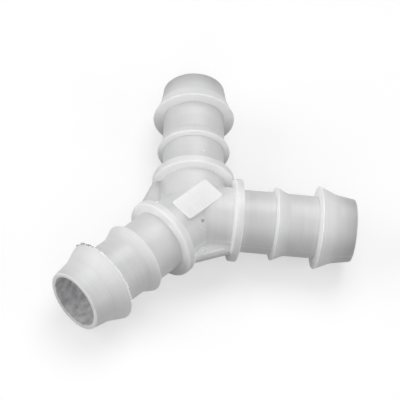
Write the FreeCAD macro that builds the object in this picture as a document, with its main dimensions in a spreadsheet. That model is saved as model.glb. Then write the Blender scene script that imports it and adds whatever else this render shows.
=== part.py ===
import FreeCAD, Part
import os
import re
import Sketcher

# Tubing Y connector, moulded in one piece from natural polypropylene.
# Three equal hose spigots leave one hub, with all three axes in the plane z = 0.
# The origin is the point where the axes cross. The stem runs along -Y and the two
# branches lean to either side of +Y. Each spigot has a stop collar, a low barb, a
# tall end barb and a tapered nose, and the bores meet in the middle of the hub.

# Driving dimensions in millimetres, and angles in degrees.
# Distances named start, foot or reach are measured along an arm from the origin.
SIZES = {
    "branch_angle": 45.0,
    "hub_radius": 9.8,
    "crease_round": 0.8,
    "bore_radius": 8.2,
    "mouth_chamfer": 0.2,
    "arm_length": 49.0,
    "collar_start": 11.5,
    "collar_width": 2.55,
    "collar_radius": 12.55,
    "collar_chamfer": 0.35,
    "barrel_radius": 9.5,
    "barb_lean": 0.4,
    "crest_land": 0.2,
    "mid_barb_foot": 24.1,
    "mid_barb_radius": 11.2,
    "mid_barb_ramp": 3.8,
    "end_barb_foot": 37.4,
    "end_barb_radius": 12.65,
    "end_barb_ramp": 5.2,
    "nose_radius": 10.5,
    "tip_radius": 9.65,
    "tip_chamfer": 0.25,
    "web_thickness": 3.0,
    "web_inset": 0.1,
    "pad_width": 8.0,
    "pad_length": 14.3,
    "pad_side_shift": 0.5,
    "pad_stem_shift": 0.5,
    "pad_rise": 0.3,
    "pad_corner": 1.0,
    "gate_radius": 0.55,
    "gate_depth": 0.3,
    "gate_turn": 40.0,
    "gate_stem_shift": 3.5,
    "cut_overrun": 1.0,
}

# How near the Z axis a point has to lie to count as on it
ON_AXIS = 1e-4

# The part
doc = FreeCAD.newDocument("tubing_y_connector")
sheet = doc.addObject("Spreadsheet::Sheet", "sizes")
for row, (alias, value) in enumerate(SIZES.items(), start=1):
    sheet.set(f"A{row}", alias)
    sheet.set(f"B{row}", str(value))
    sheet.setAlias(f"B{row}", alias)
doc.recompute()

connector = doc.addObject("PartDesign::Body", "connector_body")
connector.Label = "y_connector"
connector.Placement = FreeCAD.Placement()


def bound(words):
    """Turn words such as hub_radius / 2 into an expression on the sheet."""
    return re.sub(r"\b(" + "|".join(SIZES) + r")\b", r"sizes.\1", words)


def origin_plane(role):
    """The body's own base plane with this role."""
    return next(p for p in connector.Origin.OriginFeatures if p.Role == role)


def plane_sketch(name, role, turn_axis, turn):
    """An empty sketch on a base plane, turned about one of the plane's own axes."""
    sketch = connector.newObject("Sketcher::SketchObject", name)
    sketch.AttachmentSupport = [(origin_plane(role), "")]
    sketch.MapMode = "FlatFace"
    turned = FreeCAD.Rotation(turn_axis, 1)
    sketch.AttachmentOffset = FreeCAD.Placement(FreeCAD.Vector(), turned)
    sketch.setExpression("AttachmentOffset.Rotation.Angle", bound(turn))
    return sketch


def draw_outline(sketch, corners):
    """A closed outline of straight sides.

    Each corner is (x, y) in words bound to the sheet, or (x, y, radius) where it is
    rounded. A coordinate written as 0 lies on the sketch's own axis.
    """
    placed = []
    for corner in corners:
        x, y = (sketch.evalExpression(bound(words)) for words in corner[:2])
        placed.append(FreeCAD.Vector(float(x), float(y), 0))
    count = len(corners)
    for side in range(count):
        sketch.addGeometry(Part.LineSegment(placed[side], placed[(side + 1) % count]))
    for side in range(count):
        joint = Sketcher.Constraint("Coincident", side, 2, (side + 1) % count, 1)
        sketch.addConstraint(joint)
    for side, corner in enumerate(corners):
        hold_corner(sketch, side, "DistanceX", -2, corner[0], placed[side].x)
        hold_corner(sketch, side, "DistanceY", -1, corner[1], placed[side].y)
    for side, corner in enumerate(corners):
        if len(corner) == 3:
            round_corner(sketch, side, corner[2])


def hold_corner(sketch, side, kind, zero_axis, words, value):
    """Hold the start of one side at its distance from the sketch's origin."""
    if words == "0":
        sketch.addConstraint(Sketcher.Constraint("PointOnObject", side, 1, zero_axis))
        return
    number = sketch.addConstraint(Sketcher.Constraint(kind, -1, 1, side, 1, value))
    sketch.setExpression(f"Constraints[{number}]", bound(words))


def round_corner(sketch, side, words):
    """Round the corner where one side starts, and keep the corner as a point."""
    radius = float(sketch.evalExpression(bound(words)))
    sketch.fillet(side, 1, radius, True, True)
    arc = max(i for i, g in enumerate(sketch.Geometry) if g.TypeId == "Part::GeomArcOfCircle")
    number = sketch.addConstraint(Sketcher.Constraint("Radius", arc, radius))
    sketch.setExpression(f"Constraints[{number}]", bound(words))


# The directions of the three arms, turned from +X
ARMS = {
    "stem": "-90",
    "right_branch": "90 - branch_angle",
    "left_branch": "90 + branch_angle",
}

ABOUT_Z = FreeCAD.Vector(0, 0, 1)
ABOUT_PLANE_Y = FreeCAD.Vector(0, 1, 0)


# The outside of one arm, from the hub's barrel to the tip, turned about its axis
COLLAR_END = "collar_start + collar_width"
MID_CREST = "mid_barb_foot + barb_lean"
END_CREST = "end_barb_foot + barb_lean"
SPIGOT_OUTLINE = [
    ("0", "0"),
    ("0", "hub_radius"),
    ("collar_start", "hub_radius"),
    ("collar_start", "collar_radius - collar_chamfer"),
    ("collar_start + collar_chamfer", "collar_radius"),
    (COLLAR_END + " - collar_chamfer", "collar_radius"),
    (COLLAR_END, "collar_radius - collar_chamfer"),
    (COLLAR_END, "barrel_radius"),
    ("mid_barb_foot", "barrel_radius"),
    (MID_CREST, "mid_barb_radius"),
    (MID_CREST + " + crest_land", "mid_barb_radius"),
    (MID_CREST + " + mid_barb_ramp", "barrel_radius"),
    ("end_barb_foot", "barrel_radius"),
    (END_CREST, "end_barb_radius"),
    (END_CREST + " + crest_land", "end_barb_radius"),
    (END_CREST + " + end_barb_ramp", "nose_radius"),
    ("arm_length - tip_chamfer", "tip_radius"),
    ("arm_length", "tip_radius - tip_chamfer"),
    ("arm_length", "0"),
]


def add_spigot(arm, turn):
    """The solid outside of one arm."""
    sketch = plane_sketch(arm + "_profile", "XY_Plane", ABOUT_Z, turn)
    draw_outline(sketch, SPIGOT_OUTLINE)
    turned = connector.newObject("PartDesign::Revolution", arm + "_spigot")
    turned.Profile = sketch
    turned.ReferenceAxis = (sketch, ["H_Axis"])
    turned.Angle = 360
    doc.recompute()


for arm, turn in ARMS.items():
    add_spigot(arm, turn)


# The rounded creases where the hub's three barrels run into each other
def starts_at_crown(edge):
    """True for an edge with an end on the Z axis, on top of the hub or below it."""
    return any(abs(v.X) < ON_AXIS and abs(v.Y) < ON_AXIS for v in edge.Vertexes)


def round_creases():
    """Round the creases, which are all the hub's edges that start at its crowns."""
    spigots = connector.Tip
    creases = [
        f"Edge{number}"
        for number, edge in enumerate(spigots.Shape.Edges, start=1)
        if starts_at_crown(edge)
    ]
    rounded = connector.newObject("PartDesign::Fillet", "crease_rounds")
    rounded.Base = (spigots, creases)
    rounded.setExpression("Radius", bound("crease_round"))
    doc.recompute()


round_creases()


# The flat webs that fill the three crotches between the collars. Each has a round
# outer edge, which runs from one collar's rim to the next.
WEBS = {
    "right_web": ("-branch_angle / 2", "(90 - branch_angle / 2)"),
    "left_web": ("180 + branch_angle / 2", "(90 - branch_angle / 2)"),
    "branch_web": ("90", "branch_angle"),
}


def add_web(name, turn, half):
    """A web along the line at this turn from +X, midway between two arms."""
    rim_reach = f"collar_start * cos({half}) + (collar_radius - web_inset) * sin({half})"
    face_reach = f"collar_start / cos({half})"
    reach = f"min({rim_reach}; {face_reach})"
    flat_end = f"{reach} - web_thickness / 2"
    sketch = plane_sketch(name + "_section", "XZ_Plane", ABOUT_PLANE_Y, turn)
    half_thickness = float(sketch.evalExpression(bound("web_thickness / 2")))
    flat_x = float(sketch.evalExpression(bound(flat_end)))
    low = FreeCAD.Vector(0, -half_thickness, 0)
    high = FreeCAD.Vector(0, half_thickness, 0)
    low_end = FreeCAD.Vector(flat_x, -half_thickness, 0)
    high_end = FreeCAD.Vector(flat_x, half_thickness, 0)
    tip = FreeCAD.Vector(flat_x + half_thickness, 0, 0)
    sketch.addGeometry(Part.LineSegment(low, low_end))
    sketch.addGeometry(Part.Arc(low_end, tip, high_end))
    sketch.addGeometry(Part.LineSegment(high_end, high))
    sketch.addGeometry(Part.LineSegment(high, low))
    sketch.addConstraint(Sketcher.Constraint("Tangent", 0, 2, 1, 1))
    sketch.addConstraint(Sketcher.Constraint("Tangent", 1, 2, 2, 1))
    sketch.addConstraint(Sketcher.Constraint("Coincident", 2, 2, 3, 1))
    sketch.addConstraint(Sketcher.Constraint("Coincident", 3, 2, 0, 1))
    sketch.addConstraint(Sketcher.Constraint("Horizontal", 0))
    sketch.addConstraint(Sketcher.Constraint("PointOnObject", 0, 1, -2))
    sketch.addConstraint(Sketcher.Constraint("PointOnObject", 2, 2, -2))
    sketch.addConstraint(Sketcher.Constraint("PointOnObject", 1, 3, -1))
    radius = sketch.addConstraint(Sketcher.Constraint("Radius", 1, half_thickness))
    sketch.setExpression(f"Constraints[{radius}]", bound("web_thickness / 2"))
    length = sketch.addConstraint(Sketcher.Constraint("DistanceX", -1, 1, 1, 3, flat_x))
    sketch.setExpression(f"Constraints[{length}]", bound(flat_end))
    web = connector.newObject("PartDesign::Pad", name)
    web.Profile = sketch
    web.SideType = "Symmetric"
    collar_middle = "(collar_start + collar_width / 2)"
    span = f"2 * ({collar_middle} - ({reach}) * cos({half})) / sin({half})"
    web.setExpression("Length", bound(span))
    doc.recompute()


for name, (turn, half) in WEBS.items():
    add_web(name, turn, half)


# The raised flat pad on top of the hub, a little off the middle
def add_pad():
    """A rounded rectangle, raised from the plane of the axes past the hub's crown."""
    sketch = plane_sketch("marking_pad_outline", "XY_Plane", ABOUT_Z, "0")
    left = "pad_side_shift - pad_width / 2"
    right = "pad_side_shift + pad_width / 2"
    low = "-pad_stem_shift - pad_length / 2"
    high = "-pad_stem_shift + pad_length / 2"
    corners = [(left, low), (right, low), (right, high), (left, high)]
    draw_outline(sketch, [corner + ("pad_corner",) for corner in corners])
    pad = connector.newObject("PartDesign::Pad", "marking_pad")
    pad.Profile = sketch
    pad.setExpression("Length", bound("hub_radius + pad_rise"))
    doc.recompute()


add_pad()


# The bores, which run from the crossing of the axes out of each tip
BORE_OUTLINE = [
    ("0", "0"),
    ("0", "bore_radius"),
    ("arm_length - mouth_chamfer", "bore_radius"),
    ("arm_length + cut_overrun", "bore_radius + mouth_chamfer + cut_overrun"),
    ("arm_length + cut_overrun", "0"),
]


def add_bore(arm, turn):
    """The bore of one arm, with a small chamfer at its mouth."""
    sketch = plane_sketch(arm + "_bore_profile", "XY_Plane", ABOUT_Z, turn)
    draw_outline(sketch, BORE_OUTLINE)
    bore = connector.newObject("PartDesign::Groove", arm + "_bore")
    bore.Profile = sketch
    bore.ReferenceAxis = (sketch, ["H_Axis"])
    bore.Angle = 360
    doc.recompute()


for arm, turn in ARMS.items():
    add_bore(arm, turn)


# The gate mark, a small round dimple on the shoulder of the hub's stem side
def add_gate_mark():
    """A shallow ball-shaped hollow, gate_turn degrees down from the hub's crown."""
    mark = connector.newObject("PartDesign::SubtractiveSphere", "gate_mark")
    mark.AttachmentSupport = [(origin_plane("XY_Plane"), "")]
    mark.MapMode = "FlatFace"
    mark.setExpression("Radius", bound("gate_radius"))
    centre = "(hub_radius + gate_radius - gate_depth)"
    mark.setExpression("AttachmentOffset.Base.x", bound(f"{centre} * sin(gate_turn)"))
    mark.setExpression("AttachmentOffset.Base.y", bound("-gate_stem_shift"))
    mark.setExpression("AttachmentOffset.Base.z", bound(f"{centre} * cos(gate_turn)"))
    doc.recompute()


add_gate_mark()


# Check every object, then write the part
def check_document():
    """Stop if any object of the document failed."""
    for item in doc.Objects:
        if "Invalid" in item.State or "Error" in item.State:
            raise RuntimeError(f"{item.Name} failed: {item.State}")


def write_part(item):
    """Write one sub-part under its own label."""
    shape = item.Shape
    if shape.isNull() or not shape.isValid() or len(shape.Solids) != 1:
        raise RuntimeError(f"{item.Label} is not one valid solid")
    shape.exportStep(os.path.join("parts", item.Label + ".step"))
    low, high = shape.BoundBox.ZMin, shape.BoundBox.ZMax
    print(f"{item.Label}: volume {shape.Volume:.1f} mm3, from z {low:.2f} to {high:.2f}")


doc.recompute()
check_document()
os.makedirs("parts", exist_ok=True)
write_part(connector)
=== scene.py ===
import math
import random

import bmesh
import bpy
from mathutils import Matrix, Vector


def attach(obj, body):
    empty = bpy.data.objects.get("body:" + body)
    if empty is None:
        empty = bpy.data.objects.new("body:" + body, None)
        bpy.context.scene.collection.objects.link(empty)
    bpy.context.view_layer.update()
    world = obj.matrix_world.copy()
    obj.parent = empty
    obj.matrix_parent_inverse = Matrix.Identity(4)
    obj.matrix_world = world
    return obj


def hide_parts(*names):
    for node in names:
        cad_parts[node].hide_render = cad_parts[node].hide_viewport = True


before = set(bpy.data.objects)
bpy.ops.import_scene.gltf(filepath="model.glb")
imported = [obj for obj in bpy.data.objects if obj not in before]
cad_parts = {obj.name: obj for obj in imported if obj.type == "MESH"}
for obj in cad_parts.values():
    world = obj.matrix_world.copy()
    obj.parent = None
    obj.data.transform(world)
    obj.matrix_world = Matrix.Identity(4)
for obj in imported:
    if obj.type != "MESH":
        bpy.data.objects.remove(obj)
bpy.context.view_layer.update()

# The camera
# A long lens above the front right of the connector, tipped a little to one side,
# as the photograph has it. Angles are in radians and distances in metres.
CAMERA_TURN = 0.6026
CAMERA_RISE = 0.9102
CAMERA_ROLL = 0.2355
CAMERA_DISTANCE = 0.61368
CAMERA_TARGET = Vector((-0.0031018, 0.0060995, 0.0))
CAMERA_LENS = 181.18
CAMERA_SENSOR = 36.0


def direction(turn, rise):
    """Towards a point at this turn from -Y to +X, and this rise above the floor."""
    level = math.cos(rise)
    return Vector((math.sin(turn) * level, -math.cos(turn) * level, math.sin(rise)))


def in_scene(name, data):
    """A new object in the scene, with this camera, lamp or mesh."""
    made = bpy.data.objects.new(name, data)
    bpy.context.scene.collection.objects.link(made)
    return made


camera_data = bpy.data.cameras.new("camera")
camera_data.lens = CAMERA_LENS
camera_data.sensor_width = CAMERA_SENSOR
camera = in_scene("camera", camera_data)
to_camera = direction(CAMERA_TURN, CAMERA_RISE)
turned = to_camera.to_track_quat("Z", "Y").to_matrix() @ Matrix.Rotation(CAMERA_ROLL, 3, "Z")
camera.matrix_world = Matrix.LocRotScale(
    CAMERA_TARGET + to_camera * CAMERA_DISTANCE, turned.to_quaternion(), None
)
bpy.context.scene.camera = camera

# The three hose spigots
# Three equal arms of one piece, moulded in natural polypropylene: a stop collar, a low
# barb, a tall end barb and a tapered nose, hollow from the tip to the middle of the hub.
# From here on, sizes are in millimetres and angles in degrees where no comment says otherwise.
MM = 0.001
# Each arm's turn is from +X to +Y
ARM_TURNS = {"stem": -90.0, "right": 45.0, "left": 135.0}
ARM_LENGTH = 49.0
ARM_OVERLAP = 2.0
HUB_RADIUS = 9.8
BORE_RADIUS = 8.2
BARREL_RADIUS = 9.5
COLLAR_START = 11.5
COLLAR_END = 14.05
COLLAR_RADIUS = 12.55
LOW_BARB_START = 24.1
LOW_BARB_CREST = 24.5
LOW_BARB_END = 28.3
LOW_BARB_RADIUS = 11.2
END_BARB_START = 37.4
END_BARB_CREST = 37.8
END_BARB_RADIUS = 12.645
CREST_WIDTH = 0.2
NOSE_START = 43.0
NOSE_RADIUS = 10.5
TIP_RADIUS = 9.55
# Each corner of the outline is its distance from the middle, its radius and its rounding
SPIGOT_OUTLINE = [
    (-ARM_OVERLAP, HUB_RADIUS, 0),
    (COLLAR_START, HUB_RADIUS, 0.3),
    (COLLAR_START, COLLAR_RADIUS, 0.45),
    (COLLAR_END, COLLAR_RADIUS, 0.45),
    (COLLAR_END, BARREL_RADIUS, 0.3),
    (LOW_BARB_START, BARREL_RADIUS, 0.15),
    (LOW_BARB_CREST, LOW_BARB_RADIUS, 0.12),
    (LOW_BARB_CREST + CREST_WIDTH, LOW_BARB_RADIUS, 0.15),
    (LOW_BARB_END, BARREL_RADIUS, 0.6),
    (END_BARB_START, BARREL_RADIUS, 0.15),
    (END_BARB_CREST, END_BARB_RADIUS, 0.12),
    (END_BARB_CREST + CREST_WIDTH, END_BARB_RADIUS, 0.15),
    (NOSE_START, NOSE_RADIUS, 0.5),
    (ARM_LENGTH, TIP_RADIUS, 0.28),
    (ARM_LENGTH, BORE_RADIUS, 0.15),
    (-ARM_OVERLAP, BORE_RADIUS, 0),
]
SIDES = 168
ROUND_STEPS = 4
# The painted highlight on the collars' rounded edges is this weak, and full on other outer
# roundings
COLLAR_EDGE_SHARE = 0.15
# Two places nearer than this are the same
SAME = 0.001
# How near to a plane a corner is on it, and how near two corners are merged, in metres
TOUCH = 0.0005 * MM
MERGE = 0.002 * MM


def turn_matrix(angle, axis="Z"):
    """A turn by this angle around one of the axes."""
    return Matrix.Rotation(math.radians(angle), 3, axis)


def turn_mesh(bm, angle, axis="Z"):
    """Turn a whole shape around one of the axes."""
    bmesh.ops.rotate(bm, verts=bm.verts, cent=(0, 0, 0), matrix=turn_matrix(angle, axis))


def edges_between(bm, chosen):
    """The edges that have both their ends on chosen corners."""
    return [edge for edge in bm.edges if all(chosen(vert) for vert in edge.verts)]


def rim_edges(bm, place, radius):
    """The ring of edges at this distance along +X and this radius."""
    def on_ring(vert):
        near = abs(vert.co.x / MM - place) < SAME
        return near and abs(math.hypot(vert.co.y, vert.co.z) / MM - radius) < SAME
    return edges_between(bm, on_ring)


def round_edges(bm, edges, setback, steps):
    """Round edges off with an arc that starts this far from them."""
    return bmesh.ops.bevel(bm, geom=edges, offset=setback * MM, offset_type="OFFSET",
                           segments=steps, profile=0.5, affect="EDGES", clamp_overlap=True,
                           material=-1)


def mark_layer(bm, mark="painted_highlight"):
    """The layer that holds a mark for the material, from 0 to 1 at each corner.

    One mark is for painted highlights on rims, crests and other edges; flash is for light burrs and
    dots, which get a painted highlight and a painted glow; and one is for dark crumbs of flash,
    painted near black as painted shade, and for the darkened dimple of the gate.
    """
    return bm.verts.layers.float.get(mark) or bm.verts.layers.float.new(mark)


def mark_edge(bm, rounded, share=1.0):
    """Mark the middle of a rounded edge for a painted highlight, by how light it should look."""
    layer = mark_layer(bm)
    faces = set(rounded["faces"])
    for vert in rounded["verts"]:
        if all(face in faces for face in vert.link_faces):
            vert[layer] = share


def is_outer_corner(number):
    """True where the outline turns away from the wall, as at a rim or a crest."""
    before, here, after = (Vector(SPIGOT_OUTLINE[i][:2]) for i in (number - 1, number, number + 1))
    first, second = here - before, after - here
    return first.x * second.y - first.y * second.x < 0


def spun_arm():
    """One whole arm along +X, spun from its outline, with every corner rounded."""
    bm = bmesh.new()
    mark_layer(bm)
    verts = [bm.verts.new((place * MM, 0, radius * MM)) for place, radius, _ in SPIGOT_OUTLINE]
    edges = [bm.edges.new(pair) for pair in zip(verts, verts[1:])]
    bmesh.ops.spin(bm, geom=verts + edges, cent=(0, 0, 0), axis=(1, 0, 0),
                   angle=math.tau, steps=SIDES, use_merge=True)
    for number, (place, radius, rounding) in enumerate(SPIGOT_OUTLINE):
        if rounding:
            rounded = round_edges(bm, rim_edges(bm, place, radius), rounding, ROUND_STEPS)
            if is_outer_corner(number):
                mark_edge(bm, rounded, COLLAR_EDGE_SHARE if place <= COLLAR_END else 1.0)
    return bm


def joined_arms():
    """The three arms, each cut at the planes midway to its neighbours, as one shell."""
    shell = bmesh.new()
    towards = {arm: turn_matrix(turn) @ Vector((1, 0, 0)) for arm, turn in ARM_TURNS.items()}
    for arm, turn in ARM_TURNS.items():
        bm = spun_arm()
        turn_mesh(bm, turn)
        for other in ARM_TURNS:
            if other != arm:
                away = (towards[arm] - towards[other]).normalized()
                bmesh.ops.bisect_plane(bm, geom=bm.verts[:] + bm.edges[:] + bm.faces[:],
                                       dist=TOUCH, plane_co=(0, 0, 0), plane_no=away,
                                       clear_inner=True)
        part = bpy.data.meshes.new(arm)
        bm.to_mesh(part)
        bm.free()
        shell.from_mesh(part)
        bpy.data.meshes.remove(part)
    bmesh.ops.remove_doubles(shell, verts=shell.verts, dist=MERGE)
    bmesh.ops.recalc_face_normals(shell, faces=shell.faces)
    return shell


shell = joined_arms()

# The creases of the hub
# The three barrels run into each other midway between the arms, and the mould leaves a
# small rounding along each of these creases.
# Each crease is its turn from +X, half the angle between its arms, and its rounding
CREASES = [(-22.5, 67.5, 0.5), (202.5, 67.5, 0.5), (90.0, 45.0, 0.7)]
CREASE_TOP = 9.4
CREASE_STEPS = 3
CREASE_ERROR = 0.01


def crease_edges(bm, turn, half):
    """The outer edges where two barrels meet, along the line at this turn."""
    along = turn_matrix(turn) @ Vector((1, 0, 0))

    def on_crease(vert):
        flat = Vector((vert.co.x, vert.co.y, 0)) / MM
        height = vert.co.z / MM
        reach = flat.dot(along)
        aside = (flat - along * reach).length
        radius = math.hypot(reach * math.sin(math.radians(half)), height)
        on_barrel = abs(radius - HUB_RADIUS) < CREASE_ERROR and abs(height) < CREASE_TOP
        return reach > -SAME and aside < SAME and on_barrel
    return edges_between(bm, on_crease)


for turn, half, rounding in CREASES:
    round_edges(shell, crease_edges(shell, turn, half), rounding, CREASE_STEPS)
bmesh.ops.recalc_face_normals(shell, faces=shell.faces)
shell_mesh = bpy.data.meshes.new("connector")
shell.to_mesh(shell_mesh)
shell.free()
connector = in_scene("connector", shell_mesh)

# The webs
# Flat plates moulded into the three crotches, midway through the hub's height. Each
# has a full round outer edge, which runs from one collar's rim to the next, and a
# hollow fillet along each barrel.
WEB_THICKNESS = 3.0
WEB_ROUND = 1.46
WEB_ROUND_STEPS = 10
WEB_ROOT_RADIUS = 9.0
WEB_INSET = 0.1
COLLAR_MIDDLE = (COLLAR_START + COLLAR_END) / 2
FILLET = 1.6
FILLET_STEPS = 8
# A fillet starts a little nearer to the hub than the crease does, by this share
FILLET_START_SHARE = 0.94
# How far a fillet runs into the web, the barrel and the collar that carry it
FILLET_SINK = 0.01
FILLET_ROOT = 0.2
FILLET_BACK = 0.3
FILLET_BACK_DROP = 0.05
# Each side of a web is its arm, the side of that arm, and half the angle between the arms
WEB_SIDES = [
    ("stem", 1, 67.5), ("right", -1, 67.5),
    ("stem", -1, 67.5), ("left", 1, 67.5),
    ("right", 1, 45.0), ("left", -1, 45.0),
]


def combine(bm, operation):
    """Join a closed shape to the connector, or cut it out."""
    tool_mesh = bpy.data.meshes.new("tool")
    bm.to_mesh(tool_mesh)
    bm.free()
    tool = in_scene("tool", tool_mesh)
    joint = connector.modifiers.new("joint", "BOOLEAN")
    joint.operation = operation
    joint.solver = "MANIFOLD"
    joint.object = tool
    depsgraph = bpy.context.evaluated_depsgraph_get()
    before = connector.data
    connector.data = bpy.data.meshes.new_from_object(connector.evaluated_get(depsgraph))
    connector.data.name = "connector"
    connector.modifiers.clear()
    bpy.data.objects.remove(tool)
    bpy.data.meshes.remove(tool_mesh)
    bpy.data.meshes.remove(before)


def draw_out(bm, verts, vec):
    """Make a face on these corners and draw it out into a solid."""
    raised = bmesh.ops.extrude_face_region(bm, geom=[bm.faces.new(verts)])["geom"]
    far = [item for item in raised if isinstance(item, bmesh.types.BMVert)]
    bmesh.ops.translate(bm, verts=far, vec=vec)


def is_level(edge):
    return abs(edge.verts[0].co.z - edge.verts[1].co.z) < TOUCH


def web_plate(turn, half):
    """A web along the line at this turn, with its root inside the barrels' walls."""
    half = math.radians(half)
    rim_reach = COLLAR_START * math.cos(half) + (COLLAR_RADIUS - WEB_INSET) * math.sin(half)
    reach = min(rim_reach, COLLAR_START / math.cos(half) - WEB_INSET)

    def beside_arm(start, radius):
        return (start * math.cos(half) + radius * math.sin(half),
                start * math.sin(half) - radius * math.cos(half))
    root = (WEB_ROOT_RADIUS / math.sin(half), 0)
    inner = beside_arm(COLLAR_MIDDLE, WEB_ROOT_RADIUS)
    outer_radius = (reach - COLLAR_MIDDLE * math.cos(half)) / math.sin(half)
    outer = beside_arm(COLLAR_MIDDLE, outer_radius)
    corners = [root, inner, outer, (outer[0], -outer[1]), (inner[0], -inner[1])]
    bm = bmesh.new()
    mark_layer(bm)
    verts = [bm.verts.new((x * MM, y * MM, -WEB_THICKNESS / 2 * MM)) for x, y in corners]
    draw_out(bm, verts, (0, 0, WEB_THICKNESS * MM))
    front = edges_between(bm, lambda vert: abs(vert.co.x / MM - reach) < SAME)
    rims = [edge for edge in front if is_level(edge)]
    mark_edge(bm, round_edges(bm, rims, WEB_ROUND, WEB_ROUND_STEPS))
    bmesh.ops.recalc_face_normals(bm, faces=bm.faces)
    turn_mesh(bm, turn)
    return bm


def fillet_strip(across, sweep, start, end):
    """A long strip with one hollow side, which fills the corner between a web and a barrel.

    It lies along +X from start to end. The hollow is an arc on a centre this far across,
    and it sweeps through this angle in radians, from the web's face to the barrel's.
    """
    bm = bmesh.new()
    mark_layer(bm)
    centre = Vector((across, WEB_THICKNESS / 2 + FILLET))
    arc = [centre + FILLET * Vector((-math.sin(angle), -math.cos(angle)))
           for angle in [sweep * step / FILLET_STEPS for step in range(FILLET_STEPS + 1)]]
    bottom = WEB_THICKNESS / 2 - FILLET_ROOT
    back = arc[-1].x - FILLET_BACK
    outline = [Vector((across, bottom))] + arc + [
        Vector((back, arc[-1].y - FILLET_BACK_DROP)), Vector((back, bottom))]
    verts = [bm.verts.new((start * MM, point.x * MM, (point.y - FILLET_SINK) * MM))
             for point in outline]
    draw_out(bm, verts, ((end - start) * MM, 0, 0))
    return bm


def placed_strip(strip, arm, side, over):
    """A strip turned onto an arm, on its left or right, over the web or under it."""
    flip = Matrix.Diagonal((1, side, over))
    bmesh.ops.transform(strip, matrix=flip.to_4x4(), verts=strip.verts)
    turn_mesh(strip, ARM_TURNS[arm])
    bmesh.ops.recalc_face_normals(strip, faces=strip.faces)
    return strip


for turn, half, _ in CREASES:
    combine(web_plate(turn, half), "UNION")
fillet_height = WEB_THICKNESS / 2 + FILLET
fillet_across = math.sqrt((HUB_RADIUS + FILLET) ** 2 - fillet_height ** 2)
fillet_sweep = math.acos(fillet_height / (HUB_RADIUS + FILLET))
for arm, side, half in WEB_SIDES:
    start = HUB_RADIUS * FILLET_START_SHARE / math.tan(math.radians(half))
    for over in (1, -1):
        strip = fillet_strip(fillet_across, fillet_sweep, start, COLLAR_START + FILLET_ROOT)
        combine(placed_strip(strip, arm, side, over), "UNION")

# The marking pad
# A flat rectangle raised past the hub's crown, where the mould carries an insert, with
# a row of short ribs. It sits a little off the middle, and its edges are slightly rounded.
PAD_LOW = Vector((-3.5, -7.65, 8.45))
PAD_HIGH = Vector((4.5, 6.65, 10.1))
PAD_CORNER = 1.0
PAD_CORNER_STEPS = 6
PAD_EDGE = 0.22
# The whole pad is marked with this share of painted highlight and glow, which lifts its shaded side
# walls
PAD_EDGE_SHARE = 0.4
RIB_COUNT = 7
RIB_SIZE = Vector((1.8, 0.45, 0.5))
RIB_START = Vector((2.7, -6.5, 9.98))
RIB_SPACING = 1.22
RIB_ROUND = 0.1
RIB_ROUND_STEPS = 2
# The ribs are marked with this share of painted highlight
RIB_SHARE = 0.3


def add_block(bm, size, centre):
    """Add a rectangular block of this size around this place."""
    made = bmesh.ops.create_cube(bm, size=1.0)["verts"]
    bmesh.ops.scale(bm, vec=size * MM, verts=made)
    bmesh.ops.translate(bm, vec=centre * MM, verts=made)


def mark_all(bm, share, mark="painted_highlight"):
    """Mark every corner of a shape."""
    layer = mark_layer(bm, mark)
    for vert in bm.verts:
        vert[layer] = share


def pad_block():
    """The pad, with its foot inside the hub's wall."""
    bm = bmesh.new()
    mark_layer(bm)
    add_block(bm, PAD_HIGH - PAD_LOW, (PAD_HIGH + PAD_LOW) / 2)
    upright = [edge for edge in bm.edges if abs(edge.verts[0].co.z - edge.verts[1].co.z) > MM]
    round_edges(bm, upright, PAD_CORNER, PAD_CORNER_STEPS)
    rim = edges_between(bm, lambda vert: abs(vert.co.z / MM - PAD_HIGH.z) < SAME)
    round_edges(bm, rim, PAD_EDGE, ROUND_STEPS)
    mark_all(bm, PAD_EDGE_SHARE)
    bmesh.ops.recalc_face_normals(bm, faces=bm.faces)
    return bm


def pad_ribs():
    """A row of short plain ribs along the pad's right edge."""
    bm = bmesh.new()
    mark_layer(bm)
    for number in range(RIB_COUNT):
        add_block(bm, RIB_SIZE, RIB_START + Vector((0, number * RIB_SPACING, 0)))
    top = edges_between(bm, lambda vert: vert.co.z / MM > PAD_HIGH.z)
    round_edges(bm, top, RIB_ROUND, RIB_ROUND_STEPS)
    mark_all(bm, RIB_SHARE)
    return bm


combine(pad_block(), "UNION")
combine(pad_ribs(), "UNION")

# The mould marks
# Small marks that the mould leaves: a dimple where the plastic ran in, a ring with a
# point and a bar on the front web, and a few raised dots.
GATE_PLACE = 3.5
GATE_ANGLE = 40
GATE_RADIUS = 0.75
GATE_DEPTH = 0.3
# How far the gate's dimple is darkened
GATE_DARK = 0.3
RING_PLACE = Vector((11.76, -7.45, 1.45))
RING_RADIUS = 1.25
RING_WIDTH = 0.24
RING_SIDES = 12
RING_STEPS = 40
POINT_PLACE = Vector((11.4, -7.65, 1.45))
POINT_RADIUS = 0.3
BAR_PLACE = Vector((14.1, -4.5, 1.38))
BAR_TURN = 67.5
BAR_LENGTH = 5.2
BAR_RADIUS = 0.3
BAR_ROUND = 0.24
BAR_SIDES = 20
# The ring and bar are marked with this share of painted highlight, and the point with a full one
MARK_SHARE = 0.22
# The dots get this share of painted highlight and painted glow
DOT_SHARE = 0.6
BALL_STEPS = 3
# Each dot is its arm, its distance and height from the arm's axis, its angle and its size
DOTS = [
    ("stem", 5.0, 9.75, 48, 0.22),
    ("stem", 4.0, 9.75, 56, 0.2),
    ("stem", 11.72, 12.42, -28, 0.36),
    ("left", 18.5, 9.45, -12, 0.24),
    ("right", 22.8, 9.6, 52, 0.36),
]


def on_arm(arm, place, height, angle):
    """A place on an arm, from its distance, its height over the axis and its angle from the top.

    It is in metres, as the shapes' own corners are.
    """
    angle = math.radians(angle)
    local = Vector((place, height * math.sin(angle), height * math.cos(angle))) * MM
    return turn_matrix(ARM_TURNS[arm]) @ local


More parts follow.
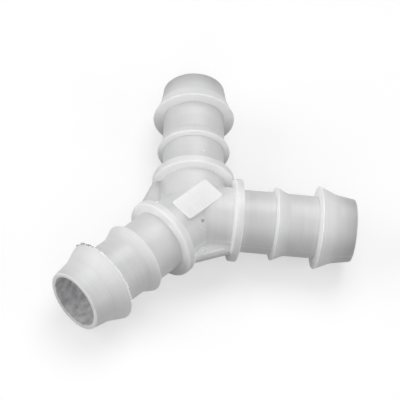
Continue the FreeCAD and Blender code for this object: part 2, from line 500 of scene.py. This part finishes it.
def ball(centre, radius, mark="painted_highlight", share=1.0):
    """A small ball around a place in metres, all of it marked."""
    bm = bmesh.new()
    mark_layer(bm)
    bmesh.ops.create_icosphere(bm, subdivisions=BALL_STEPS, radius=radius * MM)
    bmesh.ops.translate(bm, vec=centre, verts=bm.verts)
    mark_all(bm, share, mark)
    return bm


def web_ring():
    """A low ring that stands out of the front web."""
    bm = bmesh.new()
    mark_layer(bm)
    bmesh.ops.create_circle(bm, segments=RING_SIDES, radius=RING_WIDTH * MM)
    turn_mesh(bm, 90, "X")
    bmesh.ops.translate(bm, verts=bm.verts, vec=(RING_RADIUS * MM, 0, 0))
    bmesh.ops.spin(bm, geom=bm.verts[:] + bm.edges[:], cent=(0, 0, 0), axis=(0, 0, 1),
                   angle=math.tau, steps=RING_STEPS, use_merge=True)
    bmesh.ops.translate(bm, verts=bm.verts, vec=RING_PLACE * MM)
    bmesh.ops.recalc_face_normals(bm, faces=bm.faces)
    mark_all(bm, MARK_SHARE)
    return bm


def web_bar():
    """A low round bar that stands out of the front web, beside the ring."""
    bm = bmesh.new()
    mark_layer(bm)
    bmesh.ops.create_cone(bm, cap_ends=True, segments=BAR_SIDES, radius1=BAR_RADIUS * MM,
                          radius2=BAR_RADIUS * MM, depth=BAR_LENGTH * MM)
    round_edges(bm, [edge for edge in bm.edges if is_level(edge)], BAR_ROUND, ROUND_STEPS)
    turn_mesh(bm, 90, "Y")
    turn_mesh(bm, BAR_TURN)
    bmesh.ops.translate(bm, verts=bm.verts, vec=BAR_PLACE * MM)
    mark_all(bm, MARK_SHARE)
    return bm


gate_middle = on_arm("stem", GATE_PLACE, HUB_RADIUS + GATE_RADIUS - GATE_DEPTH, GATE_ANGLE)
combine(ball(gate_middle, GATE_RADIUS, "dark_mark", GATE_DARK), "DIFFERENCE")
combine(web_ring(), "UNION")
combine(ball(POINT_PLACE * MM, POINT_RADIUS), "UNION")
combine(web_bar(), "UNION")
for arm, place, height, angle, radius in DOTS:
    combine(ball(on_arm(arm, place, height, angle), radius, "flash", DOT_SHARE), "UNION")

# The burrs
# The stem's end barb has ragged crumbs of flash along the upper left of its crest, painted near
# black as painted shade. A thin broken edge of flash runs on over its top, and a few light specks
# stand on crest and tip, with a painted highlight and a painted glow.
# Each crumb is its angle on the crest and its size
CRUMBS = [(-66, 0.48), (-63.5, 0.42), (-58, 0.3), (-55.5, 0.24), (-50, 0.46), (-47, 0.52),
          (-44.5, 0.34), (-38, 0.34), (-34.5, 0.38), (-32, 0.3), (-26.5, 0.28)]
EDGE_START = -22
EDGE_END = 66
EDGE_STEP = 4.0
EDGE_STEP_CHANCE = (0.7, 1.5)
EDGE_SIZE_CHANCE = (0.18, 0.3)
EDGE_STRETCH = 2.5
FLAKE_PLACE = 37.85
FLAKE_HEIGHT = 12.6
# How far a piece of flash stands out, as a share of its size
FLAKE_RISE = 0.15
FLAKE_WIDTH = 0.8
FLAKE_STEPS = 1
LUMP_CHANCE = (0.8, 1.25)
STRETCH_CHANCE = (0.8, 1.5)
TALLNESS_CHANCE = (0.9, 1.5)
PLACE_CHANCE = (-0.15, 0.15)
HEIGHT_CHANCE = (-0.06, 0.06)
# No piece of flash stands higher than this over the middle of the connector
FLASH_TOP = 12.64
CHANCE_SEED = 4
# Each speck is its distance, height and angle on the stem, and its size
SPECKS = [
    (37.9, 12.3, 11, 0.3),
    (37.9, 12.6, 72, 0.3),
    (48.7, 9.4, -178, 0.26),
]


def flake(angle, size, stretch, mark, pick):
    """One ragged piece of flash on the crest, shaped by chance and stretched along it."""
    bm = bmesh.new()
    mark_layer(bm)
    bmesh.ops.create_icosphere(bm, subdivisions=FLAKE_STEPS, radius=size * MM)
    for vert in bm.verts:
        vert.co *= pick.uniform(*LUMP_CHANCE)
    length = stretch * pick.uniform(*STRETCH_CHANCE)
    tallness = pick.uniform(*TALLNESS_CHANCE)
    bmesh.ops.scale(bm, vec=(FLAKE_WIDTH, length, tallness), verts=bm.verts)
    turn_mesh(bm, -angle, "X")
    turn_mesh(bm, ARM_TURNS["stem"])
    place = FLAKE_PLACE + pick.uniform(*PLACE_CHANCE)
    height = FLAKE_HEIGHT + FLAKE_RISE * size + pick.uniform(*HEIGHT_CHANCE)
    bmesh.ops.translate(bm, verts=bm.verts, vec=on_arm("stem", place, height, angle))
    too_high = max(vert.co.z for vert in bm.verts) - FLASH_TOP * MM
    if too_high > 0:
        bmesh.ops.translate(bm, verts=bm.verts, vec=(0, 0, -too_high))
    mark_all(bm, 1.0, mark)
    return bm


def clean_joints():
    """Take out the slivers that joining the shapes leaves."""
    bm = bmesh.new()
    bm.from_mesh(connector.data)
    bmesh.ops.dissolve_degenerate(bm, edges=bm.edges, dist=MERGE)
    bmesh.ops.remove_doubles(bm, verts=bm.verts, dist=MERGE)
    bm.to_mesh(connector.data)
    bm.free()


pick = random.Random(CHANCE_SEED)
# The crumbs are painted near black, as painted shade
for angle, size in CRUMBS:
    combine(flake(angle, size, 1.0, "dark_mark", pick), "UNION")
# The thin edge of flash and the specks are marked for a painted highlight and a painted glow
angle = EDGE_START
while angle < EDGE_END:
    size = pick.uniform(*EDGE_SIZE_CHANCE)
    combine(flake(angle, size, EDGE_STRETCH, "flash", pick), "UNION")
    angle += EDGE_STEP * pick.uniform(*EDGE_STEP_CHANCE)
for place, height, angle, radius in SPECKS:
    combine(ball(on_arm("stem", place, height, angle), radius, "flash"), "UNION")
clean_joints()

# The natural polypropylene
# Milky and slightly see-through. Where the wall is thin it looks greyer, and collars, barbs and
# other thick places look white. Rims, crests, steep faces and the tips' ends get painted highlights
# and a painted glow, and the noses, webs and bore get painted shade. Its skin is satin, with fine
# turning rings and polishing lines from the mould.
THIN_COLOUR = (0.74, 0.74, 0.743, 1)
THICK_COLOUR = (0.855, 0.855, 0.854, 1)
RIM_COLOUR = (0.985, 0.985, 0.985, 1)
# Painted shade on the webs, which sit in the crotches between the arms
WEB_SHADE_COLOUR = (0.61, 0.61, 0.612, 1)
# Painted shade on the noses, darkest at the tip
TIP_SHADE_COLOUR = (0.48, 0.48, 0.49, 1)
# Painted shade inside the bore, laid on in streaks
BORE_SHADE_COLOUR = (0.52, 0.52, 0.535, 1)
# Near black: painted shade on the dark crumbs, and at a share the darker gate dimple
DARK_MARK_COLOUR = (0.06, 0.06, 0.06, 1)
BLACK = (0, 0, 0, 1)
WHITE = (1, 1, 1, 1)
# How much of its colour a place shows, from 0 to 1
HUB_SHARE = 0.25
COLLAR_SHARE = 0.8
PAD_SHARE = 0.95
# The steep faces are painted this far towards white over the thick colour, as painted light
STEP_SHARE = 0.6
# The stem's nose gets only this share of the painted shade
STEM_TIP_SHADE_SHARE = 0.3
# The tips' end faces are painted this far towards white, as painted light
TIP_FACE_SHARE = 0.95
PARTING_SHARE = 0.4
# How much painted glow a place has, from 0 to 1, standing in for light that comes through the wall
EDGE_GLOW = 0.1
LINE_GLOW = 0.55
STEP_GLOW = 0.32
TIP_GLOW = 0.2
BORE_GLOW = 0.25
# From where to where a place's share changes: along an arm, from its axis, or in height
WEB_RADII = (HUB_RADIUS, HUB_RADIUS + 0.8)
WEB_REACH = (COLLAR_START - 0.2, COLLAR_START)
PAD_REACH = (COLLAR_START - 1.2, COLLAR_START - 1.0)
PAD_HEIGHTS = (HUB_RADIUS + 0.04, PAD_HIGH.z)
# The painted glow and the steep faces' painted light fade out towards the underside between these
# heights
GLOW_HEIGHTS = (-6.0, 3.0)
# Where the painted shade on the noses starts
TIP_SHADE_START = 41.5
STEM_TIP_REACH = (-TIP_SHADE_START, -TIP_SHADE_START + 1.0)
TIP_FACE_REACH = (ARM_LENGTH - 0.2, ARM_LENGTH - 0.05)
BORE_RADII = (BORE_RADIUS, BORE_RADIUS + 0.15)
BORE_REACH = (34.0, 46.0)
# The wall looks thicker near a collar or barb, and fully solid at the low barb's radius
WALL_STOPS = 32
WALL_BLUR = 0.6
WALL_SAMPLES = 9
WALL_CURVE = 0.4
# The middles of the steep faces, and how far each side of them the face's share fades
STEP_FACES = [COLLAR_START, COLLAR_END, (LOW_BARB_START + LOW_BARB_CREST) / 2,
              (END_BARB_START + END_BARB_CREST) / 2]
STEP_WIDTHS = (0.22, 0.35)
STEP_RADII = (BARREL_RADIUS, BARREL_RADIUS + 0.15)
# Each painted highlight line is its distance, its radius and how bright it is
RIM_HIGHLIGHTS = [(11.75, 12.5, 0.12), (13.8, 12.5, 0.12), (24.6, 11.2, 0.4), (37.9, 12.6, 1.0)]
LINE_WIDTHS = (0.12, 0.35)
LINE_DEEP = 0.4
LINE_SHALLOW = 0.1
PARTING_WIDTHS = (0.08, 0.16)
PARTING_RADII = (BARREL_RADIUS - 0.4, BARREL_RADIUS - 0.3)
# Each noise is its scale and its detail
CLOUDS = (160.0, 4.0)
GRAIN = (2600.0, 2.0)
PARTING_NOISE = (300.0, 3.0)
# Noise that follows an arm has before these how fine it is along the arm and around it
RINGS = (1.7, 0.5, 1.0, 4.0)
POLISH = (0.05, 26.0, 1.0, 3.0)
# The next noise breaks up the painted highlight lines on rims and crests
HIGHLIGHT_BREAKS = (0.3, 7.0, 1.0, 4.0)
STREAKS = (0.3, 3.0, 1.5, 6.0)
# The part of a noise that is used
NOISE_RANGE = (0.3, 0.7)
HIGHLIGHT_BREAK_RANGE = (0.42, 0.6)
PARTING_RANGE = (0.35, 0.55)
STREAK_RANGE = (0.35, 0.65)
# What each noise does to the colour, the roughness and the height
CLOUD_TONE = (0.955, 1.0)
RING_TONE = (-0.022, 0.022)
POLISH_TONE = (-0.014, 0.014)
CLOUD_ROUGHNESS = (0.36, 0.44)
POLISH_ROUGHNESS = (-0.015, 0.015)
RING_HEIGHT = 0.32
POLISH_HEIGHT = 0.06
GRAIN_HEIGHT = 0.25
# The least of a painted highlight line that its breaks leave
LEAST_HIGHLIGHT = 0.15
LEAST_PARTING = 0.2
BUMP_STRENGTH = 0.5
BUMP_HEIGHT = 0.08
# The values that are the same all over the plastic
PLAIN_VALUES = {
    "IOR": 1.49,
    "Specular IOR Level": 0.65,
    "Subsurface Weight": 1.0,
    "Subsurface Radius": (1.0, 1.0, 1.0),
    "Subsurface Scale": 3.5 * MM,
    # The strength of the painted glow
    "Emission Strength": 0.25,
}
SHARP_ANGLE = 32


def outline_radius(place):
    """The radius of the spigot's outside at this distance from the middle."""
    outside = [corner[:2] for corner in SPIGOT_OUTLINE if corner[1] > BORE_RADIUS]
    for (s0, r0), (s1, r1) in zip(outside, outside[1:]):
        if s0 <= place < s1:
            return r0 + (r1 - r0) * (place - s0) / (s1 - s0)
    return outside[-1][1]


def wall_share(place):
    """How solid the wall looks around this distance, from 0 at a barrel to 1 at a barb."""
    around = [place + WALL_BLUR * (2 * i / (WALL_SAMPLES - 1) - 1) for i in range(WALL_SAMPLES)]
    radii = [outline_radius(min(near, ARM_LENGTH)) for near in around if near > COLLAR_START]
    if not radii:
        return HUB_SHARE
    raised = sum(radii) / len(radii) - BARREL_RADIUS
    share = raised / (LOW_BARB_RADIUS - BARREL_RADIUS)
    most = COLLAR_SHARE if place < COLLAR_END else 1.0
    return min(max(share, 0.0) ** WALL_CURVE, most)


def new_group(name, inputs, outputs):
    """An empty node group, with sockets given as name and kind."""
    group = bpy.data.node_groups.new(name, "ShaderNodeTree")
    for sockets, way in ((inputs, "INPUT"), (outputs, "OUTPUT")):
        for label, kind in sockets.items():
            group.interface.new_socket(label, in_out=way, socket_type="NodeSocket" + kind)
    given = group.nodes.new("NodeGroupInput").outputs
    return group, given, group.nodes.new("NodeGroupOutput").inputs


def group_node(tree, group, **given):
    """Place a group in a tree, link its inputs and give back its outputs."""
    node = tree.nodes.new("ShaderNodeGroup")
    node.node_tree = group
    for label, value in given.items():
        tree.links.new(value, node.inputs[label])
    return node.outputs


def set_socket(tree, socket, value):
    """Link a socket to another, or set it to a plain value."""
    if isinstance(value, bpy.types.NodeSocket):
        tree.links.new(value, socket)
    else:
        socket.default_value = value


def math_node(tree, operation, *values):
    """A sum, product or other result of sockets and plain numbers."""
    node = tree.nodes.new("ShaderNodeMath")
    node.operation = operation
    for socket, value in zip(node.inputs, values):
        set_socket(tree, socket, value)
    return node.outputs[0]


def highest(tree, first, *others):
    """The highest of several shares."""
    for share in others:
        first = math_node(tree, "MAXIMUM", first, share)
    return first


def squared(tree, value):
    return math_node(tree, "POWER", value, 2.0)


def mixed_colour(tree, share, low, high):
    """A colour between two, by a share that changes over the surface."""
    mix = tree.nodes.new("ShaderNodeMix")
    mix.data_type = "RGBA"
    for socket, value in zip([mix.inputs[0], mix.inputs[6], mix.inputs[7]], [share, low, high]):
        set_socket(tree, socket, value)
    return mix.outputs[2]


def remapped(tree, value, span, low, high):
    """A value that goes from low to high while another goes over a span."""
    node = tree.nodes.new("ShaderNodeMapRange")
    for socket, number in zip(node.inputs, [value, *span, low, high]):
        set_socket(tree, socket, number)
    return node.outputs["Result"]


def in_metres(span):
    return [end * MM for end in span]


def coordinates(tree, place):
    """The X, Y and Z of a place."""
    parts = tree.nodes.new("ShaderNodeSeparateXYZ")
    tree.links.new(place, parts.inputs[0])
    return [parts.outputs[axis] for axis in "XYZ"]


def noise(tree, place, scale, detail):
    """Cloudy noise from 0 to 1."""
    node = tree.nodes.new("ShaderNodeTexNoise")
    set_socket(tree, node.inputs["Vector"], place)
    node.inputs["Scale"].default_value = scale
    node.inputs["Detail"].default_value = detail
    return node.outputs["Fac"]


def arm_noise(tree, given, along, around, scale, detail):
    """Noise that follows an arm, drawn out along it or around it."""
    place = tree.nodes.new("ShaderNodeCombineXYZ")
    tree.links.new(math_node(tree, "MULTIPLY", given["Along"], along), place.inputs[0])
    tree.links.new(math_node(tree, "MULTIPLY", given["Around"], around), place.inputs[1])
    return noise(tree, place.outputs[0], scale, detail)


def distance_from(tree, value, middle):
    """How far a value is from a number, either way."""
    return math_node(tree, "ABSOLUTE", math_node(tree, "SUBTRACT", value, middle))


def along_arm_group():
    """Where a place is on the nearest arm: how far along it, at which angle, how far from its axis.

    The distances are in millimetres and the angle in radians.
    """
    group, given, result = new_group(
        "along_arm", {"Place": "Vector"}, {"Along": "Float", "Around": "Float", "Radius": "Float"})
    reaches = []
    for turn in ARM_TURNS.values():
        dot = group.nodes.new("ShaderNodeVectorMath")
        dot.operation = "DOT_PRODUCT"
        dot.inputs[1].default_value = turn_matrix(turn) @ Vector((1 / MM, 0, 0))
        group.links.new(given["Place"], dot.inputs[0])
        reaches.append(dot.outputs["Value"])
    along = highest(group, *reaches)
    x, y, z = (math_node(group, "MULTIPLY", part, 1 / MM)
               for part in coordinates(group, given["Place"]))
    flat = math_node(group, "ADD", squared(group, x), squared(group, y))
    aside = math_node(group, "SUBTRACT", flat, squared(group, along))
    aside = math_node(group, "SQRT", math_node(group, "MAXIMUM", aside, 0.0))
    across = math_node(group, "ADD", squared(group, aside), squared(group, z))
    group.links.new(along, result["Along"])
    group.links.new(math_node(group, "ARCTAN2", z, aside), result["Around"])
    group.links.new(math_node(group, "SQRT", across), result["Radius"])
    return group


def wall_group():
    """How thick the wall looks at a distance along an arm, from its outline."""
    group, given, result = new_group("wall_share", {"Along": "Float"}, {"Share": "Float"})
    wall = group.nodes.new("ShaderNodeValToRGB")
    wall.color_ramp.interpolation = "B_SPLINE"
    stops = wall.color_ramp.elements
    while len(stops) < WALL_STOPS:
        stops.new(0.5)
    for number, stop in enumerate(stops):
        stop.position = number / (WALL_STOPS - 1)
    for stop in stops:
        share = wall_share(stop.position * ARM_LENGTH)
        stop.color = (share, share, share, 1)
    group.links.new(math_node(group, "DIVIDE", given["Along"], ARM_LENGTH), wall.inputs["Fac"])
    group.links.new(wall.outputs["Color"], result["Share"])
    return group


def step_faces_group():
    """The steep faces of the collars and barbs."""
    group, given, result = new_group(
        "step_faces", {"Along": "Float", "Radius": "Float"}, {"Share": "Float"})
    faces = [remapped(group, distance_from(group, given["Along"], place), STEP_WIDTHS, 1.0, 0.0)
             for place in STEP_FACES]
    raised = remapped(group, given["Radius"], STEP_RADII, 0.0, 1.0)
    share = math_node(group, "MULTIPLY", highest(group, *faces), raised)
    group.links.new(share, result["Share"])
    return group


def moulded_skin_group():
    """Clouds inside the plastic, turning rings, polishing lines and a fine grain."""
    group, given, result = new_group(
        "moulded_skin", {"Place": "Vector", "Along": "Float", "Around": "Float"},
        {"Tone": "Float", "Roughness": "Float", "Height": "Float"})
    clouds = noise(group, given["Place"], *CLOUDS)
    grain = noise(group, given["Place"], *GRAIN)
    rings = arm_noise(group, given, *RINGS)
    polish = arm_noise(group, given, *POLISH)
    tone = math_node(group, "ADD", remapped(group, clouds, NOISE_RANGE, *CLOUD_TONE),
                     remapped(group, polish, NOISE_RANGE, *POLISH_TONE))
    tone = math_node(group, "ADD", tone, remapped(group, rings, NOISE_RANGE, *RING_TONE))
    roughness = math_node(group, "ADD", remapped(group, clouds, NOISE_RANGE, *CLOUD_ROUGHNESS),
                          remapped(group, polish, NOISE_RANGE, *POLISH_ROUGHNESS))
    height = math_node(group, "ADD", math_node(group, "MULTIPLY", rings, RING_HEIGHT),
                       math_node(group, "MULTIPLY", polish, POLISH_HEIGHT))
    height = math_node(group, "ADD", height, math_node(group, "MULTIPLY", grain, GRAIN_HEIGHT))
    group.links.new(tone, result["Tone"])
    group.links.new(roughness, result["Roughness"])
    group.links.new(height, result["Height"])
    return group


def rim_highlights_group():
    """Painted highlight lines along the collars' edges and the barbs' crests, broken up by noise.
    """
    group, given, result = new_group(
        "rim_highlights", {"Along": "Float", "Around": "Float", "Radius": "Float"}, {"Share": "Float"})
    lines = []
    for place, radius, share in RIM_HIGHLIGHTS:
        away = distance_from(group, given["Along"], place)
        near = remapped(group, away, LINE_WIDTHS, share, 0.0)
        depth = (radius - LINE_DEEP, radius - LINE_SHALLOW)
        outside = remapped(group, given["Radius"], depth, 0.0, 1.0)
        lines.append(math_node(group, "MULTIPLY", near, outside))
    broken_highlight = remapped(group, arm_noise(group, given, *HIGHLIGHT_BREAKS), HIGHLIGHT_BREAK_RANGE, LEAST_HIGHLIGHT, 1.0)
    share = math_node(group, "MULTIPLY", highest(group, *lines), broken_highlight)
    group.links.new(share, result["Share"])
    return group


def parting_line_group():
    """The thin line around the middle, where the two halves of the mould met."""
    group, given, result = new_group(
        "parting_line", {"Place": "Vector", "Radius": "Float"}, {"Share": "Float"})
    height = math_node(group, "MULTIPLY", coordinates(group, given["Place"])[2], 1 / MM)
    line = remapped(group, math_node(group, "ABSOLUTE", height), PARTING_WIDTHS, 1.0, 0.0)
    outside = remapped(group, given["Radius"], PARTING_RADII, 0.0, 1.0)
    uneven = remapped(group, noise(group, given["Place"], *PARTING_NOISE),
                      PARTING_RANGE, LEAST_PARTING, 1.0)
    share = math_node(group, "MULTIPLY", math_node(group, "MULTIPLY", line, outside), uneven)
    group.links.new(share, result["Share"])
    return group


def bore_shade_streaks_group():
    """Cloudy streaks of painted shade along the inside of the bore."""
    group, given, result = new_group(
        "bore_shade_streaks", {"Along": "Float", "Around": "Float"}, {"Share": "Float"})
    streaks = arm_noise(group, given, *STREAKS)
    group.links.new(remapped(group, streaks, STREAK_RANGE, 0.0, 1.0), result["Share"])
    return group


def attribute(tree, name):
    """A mark that the mesh carries."""
    node = tree.nodes.new("ShaderNodeAttribute")
    node.attribute_name = name
    return node.outputs["Fac"]


def plastic_masks(tree, place, arm):
    """Where each part of the connector is, as shares from 0 to 1."""
    along, around, radius = arm["Along"], arm["Around"], arm["Radius"]
    _, y, z = coordinates(tree, place)
    web_out = remapped(tree, radius, WEB_RADII, 0.0, 1.0)
    web_in = remapped(tree, along, WEB_REACH, 1.0, 0.0)
    pad_up = remapped(tree, z, in_metres(PAD_HEIGHTS), 0.0, PAD_SHARE)
    pad_in = remapped(tree, along, PAD_REACH, 1.0, 0.0)
    # Painted light only on the upper part, fading out towards the underside
    lit_from_above = remapped(tree, z, in_metres(GLOW_HEIGHTS), 0.0, 1.0)
    faces = group_node(tree, step_faces_group(), Along=along, Radius=radius)["Share"]
    # Painted shade on the noses, growing towards the tip and weaker on the stem
    tip = remapped(tree, along, (TIP_SHADE_START, ARM_LENGTH), 0.0, 1.0)
    less_shade_on_stem = remapped(tree, y, in_metres(STEM_TIP_REACH), STEM_TIP_SHADE_SHARE, 1.0)
    rims = group_node(tree, rim_highlights_group(), Along=along, Around=around, Radius=radius)
    parting = group_node(tree, parting_line_group(), Place=place, Radius=radius)
    in_bore = remapped(tree, radius, BORE_RADII, 1.0, 0.0)
    streaks = group_node(tree, bore_shade_streaks_group(), Along=along, Around=around)
    return {
        "wall": group_node(tree, wall_group(), Along=along)["Share"],
        "web": math_node(tree, "MULTIPLY", web_out, web_in),
        "pad": math_node(tree, "MULTIPLY", pad_up, pad_in),
        "lit_from_above": lit_from_above,
        # The steep faces, for painted light that fades out towards the underside
        "steps": math_node(tree, "MULTIPLY", faces, lit_from_above),
        "tip": math_node(tree, "MULTIPLY", tip, less_shade_on_stem),
        "tip_face": remapped(tree, along, TIP_FACE_REACH, 0.0, TIP_FACE_SHARE),
        "rims": rims["Share"],
        "parting": parting["Share"],
        "bore": in_bore,
        "streaks": math_node(tree, "MULTIPLY", in_bore, streaks["Share"]),
        # A painted glow deep in the bore, fading out towards the mouth
        "deep_bore": remapped(tree, along, BORE_REACH, BORE_GLOW, 0.0),
        "painted_highlight": attribute(tree, "painted_highlight"),
        "flash": attribute(tree, "flash"),
        "dark_mark": attribute(tree, "dark_mark"),
    }


def plastic_colour(tree, masks):
    """The plastic's colour with its painted highlights and painted shade, each laid over the ones
    before it.
    """
    painted_lit_steps = math_node(tree, "MULTIPLY", masks["steps"], STEP_SHARE)
    parting = math_node(tree, "MULTIPLY", masks["parting"], PARTING_SHARE)
    colour = mixed_colour(tree, masks["wall"], THIN_COLOUR, THICK_COLOUR)
    for share, layer in (
        (masks["web"], WEB_SHADE_COLOUR),
        (masks["pad"], THICK_COLOUR),
        # Painted light on the steep faces
        (masks["steps"], THICK_COLOUR),
        (painted_lit_steps, RIM_COLOUR),
        (masks["tip"], TIP_SHADE_COLOUR),
        (masks["tip_face"], RIM_COLOUR),
        # Painted highlights on edges, crests, rims, light burrs and marks, and the lighter parting
        # line
        (highest(tree, masks["painted_highlight"], masks["flash"], masks["rims"], parting), RIM_COLOUR),
        (masks["streaks"], BORE_SHADE_COLOUR),
        (masks["dark_mark"], DARK_MARK_COLOUR),
    ):
        colour = mixed_colour(tree, share, colour, layer)
    return colour


def painted_glow(tree, masks):
    """A painted glow, as a grey: on edges, crests, steep faces, the tips' ends, light burrs and
    dots, fading out towards the underside, and deep in the bore.
    """
    glows = {"rims": LINE_GLOW, "steps": STEP_GLOW, "painted_highlight": EDGE_GLOW, "tip_face": TIP_GLOW}
    shares = [math_node(tree, "MULTIPLY", masks[name], most) for name, most in glows.items()]
    outside = math_node(tree, "MULTIPLY", highest(tree, masks["flash"], *shares), masks["lit_from_above"])
    inside = math_node(tree, "MULTIPLY", masks["bore"], masks["deep_bore"])
    return mixed_colour(tree, highest(tree, outside, inside), BLACK, WHITE)


def natural_plastic():
    """The connector's one material."""
    material = bpy.data.materials.new("natural_plastic")
    material.use_nodes = True
    tree = material.node_tree
    skin = tree.nodes["Principled BSDF"].inputs
    place = tree.nodes.new("ShaderNodeTexCoord").outputs["Object"]
    arm = group_node(tree, along_arm_group(), Place=place)
    detail = group_node(tree, moulded_skin_group(), Place=place,
                        Along=arm["Along"], Around=arm["Around"])
    masks = plastic_masks(tree, place, arm)
    toned = tree.nodes.new("ShaderNodeVectorMath")
    toned.operation = "SCALE"
    tree.links.new(plastic_colour(tree, masks), toned.inputs[0])
    tree.links.new(detail["Tone"], toned.inputs["Scale"])
    tree.links.new(toned.outputs[0], skin["Base Color"])
    tree.links.new(detail["Roughness"], skin["Roughness"])
    tree.links.new(painted_glow(tree, masks), skin["Emission Color"])
    bump = tree.nodes.new("ShaderNodeBump")
    bump.inputs["Strength"].default_value = BUMP_STRENGTH
    bump.inputs["Distance"].default_value = BUMP_HEIGHT * MM
    height = math_node(tree, "ADD", detail["Height"], masks["parting"])
    tree.links.new(height, bump.inputs["Height"])
    tree.links.new(bump.outputs["Normal"], skin["Normal"])
    for name, value in PLAIN_VALUES.items():
        skin[name].default_value = value
    return material


connector.data.materials.clear()
connector.data.materials.append(natural_plastic())
connector.data.shade_smooth()
connector.data.set_sharp_from_angle(angle=math.radians(SHARP_ANGLE))
even = connector.modifiers.new("even_shading", "WEIGHTED_NORMAL")
even.mode = "FACE_AREA"
even.keep_sharp = True
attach(connector, "root")
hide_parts("y_connector")

# The floor
# A plain white sheet that carries only the connector's soft shadow. It looks white by a
# glow of its own, and throws less light back at the connector than white paper would.
FLOOR_HEIGHT = -12.65
FLOOR_SIZE = 700.0
FLOOR_MATT = (0.3, 0.3, 0.3, 1)
FLOOR_PALE = (0.52, 0.52, 0.52, 1)
FLOOR_GLOW = 0.545


def seen_directly(tree):
    """1 where the camera, a reflection or a clear piece shows a place, and 0 elsewhere."""
    path = tree.nodes.new("ShaderNodeLightPath").outputs
    return highest(tree, path["Is Camera Ray"], path["Is Glossy Ray"], path["Is Transmission Ray"])


def mix_by_sight(tree, unseen, seen, surface):
    """Send one shader to a surface, and another where it is seen directly."""
    mix = tree.nodes.new("ShaderNodeMixShader")
    tree.links.new(seen_directly(tree), mix.inputs[0])
    tree.links.new(unseen.outputs[0], mix.inputs[1])
    tree.links.new(seen.outputs[0], mix.inputs[2])
    tree.links.new(mix.outputs[0], surface)


def white_paper():
    """The floor's material."""
    paper = bpy.data.materials.new("white_paper")
    paper.use_nodes = True
    nodes, links = paper.node_tree.nodes, paper.node_tree.links
    nodes.clear()
    matt = nodes.new("ShaderNodeBsdfDiffuse")
    matt.inputs["Color"].default_value = FLOOR_MATT
    pale = nodes.new("ShaderNodeBsdfDiffuse")
    pale.inputs["Color"].default_value = FLOOR_PALE
    glow = nodes.new("ShaderNodeEmission")
    glow.inputs["Strength"].default_value = FLOOR_GLOW
    seen = nodes.new("ShaderNodeAddShader")
    links.new(glow.outputs[0], seen.inputs[0])
    links.new(pale.outputs[0], seen.inputs[1])
    out = nodes.new("ShaderNodeOutputMaterial")
    mix_by_sight(paper.node_tree, matt, seen, out.inputs["Surface"])
    return paper


bm = bmesh.new()
bmesh.ops.create_grid(bm, x_segments=1, y_segments=1, size=FLOOR_SIZE / 2 * MM)
bmesh.ops.translate(bm, verts=bm.verts, vec=(0, 0, FLOOR_HEIGHT * MM))
floor_mesh = bpy.data.meshes.new("floor")
bm.to_mesh(floor_mesh)
bm.free()
floor = in_scene("floor", floor_mesh)
floor.data.materials.append(white_paper())

# The light
# One broad softbox overhead, and weaker soft lamps that fill its shadows. The surround
# is white to look at and gives no light. Each lamp is its turn and rise in degrees and
# its power in watts, and the lamps' size and distance are in metres.
LAMPS = {
    "top": (214, 65, 4.9),
    "front_left": (324, 28, 4.2),
    "front_right": (104, 25, 2.0),
    "front": (40, 33, 1.6),
    "beside_camera": (34, 60, 1.2),
    "left": (284, 40, 0.7),
    "right": (144, 40, 0.8),
}
LAMP_SIZE = 0.8
LAMP_DISTANCE = 1.0
SURROUND_LIGHT = 0.0
SURROUND_SEEN = 1.0


def white_surround():
    world = bpy.data.worlds.new("surround")
    world.use_nodes = True
    nodes = world.node_tree.nodes
    unseen = nodes["Background"]
    unseen.inputs["Strength"].default_value = SURROUND_LIGHT
    seen = nodes.new("ShaderNodeBackground")
    seen.inputs["Color"].default_value = WHITE
    seen.inputs["Strength"].default_value = SURROUND_SEEN
    mix_by_sight(world.node_tree, unseen, seen, nodes["World Output"].inputs["Surface"])
    return world


for name, (turn, rise, power) in LAMPS.items():
    lamp_data = bpy.data.lights.new(name, "AREA")
    lamp_data.shape = "DISK"
    lamp_data.size = LAMP_SIZE
    lamp_data.energy = power
    lamp = in_scene(name, lamp_data)
    towards_lamp = direction(math.radians(turn), math.radians(rise))
    lamp.matrix_world = Matrix.LocRotScale(
        towards_lamp * LAMP_DISTANCE, towards_lamp.to_track_quat("Z", "Y"), None
    )
bpy.context.scene.view_settings.view_transform = "Standard"
bpy.context.scene.world = white_surround()
